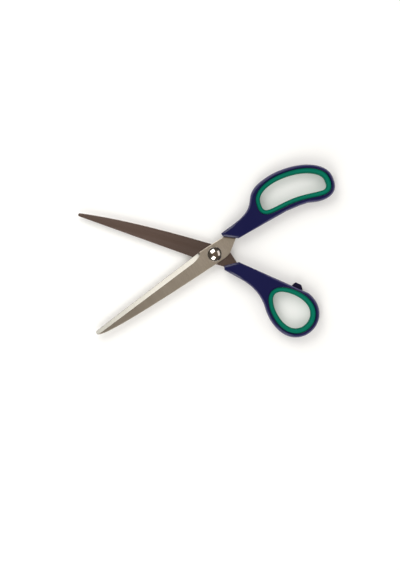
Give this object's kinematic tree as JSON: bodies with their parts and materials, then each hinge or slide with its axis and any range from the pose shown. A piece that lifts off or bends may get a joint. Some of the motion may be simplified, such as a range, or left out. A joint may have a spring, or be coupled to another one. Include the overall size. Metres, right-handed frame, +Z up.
{
  "type": "household scissors",
  "caption": "Long-bladed household scissors with a riveted pivot, moulded handles over the tangs, soft grip rings in the finger and thumb loops, and a rubber stop between the handles.",
  "frame": {"origin": "on the pivot axis, at the back face of the rivet's tail, in the plane that the scissors lie on", "axes": "+X along the closing line from the pivot towards the handles, +Y to the side of the finger loop, +Z up out of the front face"},
  "size_m": [0.2288, 0.1505, 0.012],
  "materials": {
    "blade_steel": "brushed outer face, bright ground bevel",
    "handle_plastic": "satin moulded",
    "grip_rubber": "soft satin",
    "rivet_steel": "polished",
    "washer_steel": "plain",
    "buffer_rubber": "matte"
  },
  "bodies": {
    "finger_half": {"front_blade": "blade_steel", "finger_handle": "handle_plastic", "finger_grip": "grip_rubber"},
    "thumb_half": {"back_blade": "blade_steel", "thumb_handle": "handle_plastic", "thumb_grip": "grip_rubber", "stop_buffer": "buffer_rubber", "pivot_rivet": "rivet_steel", "rivet_washer": "washer_steel"}
  },
  "joints": [
    {"name": "blade_pivot", "type": "hinge", "parent": "finger_half", "child": "thumb_half", "pos_m": [0, 0, 0], "axis": [0, 0, -1], "range_deg": [-49.6, 55]}
  ]
}
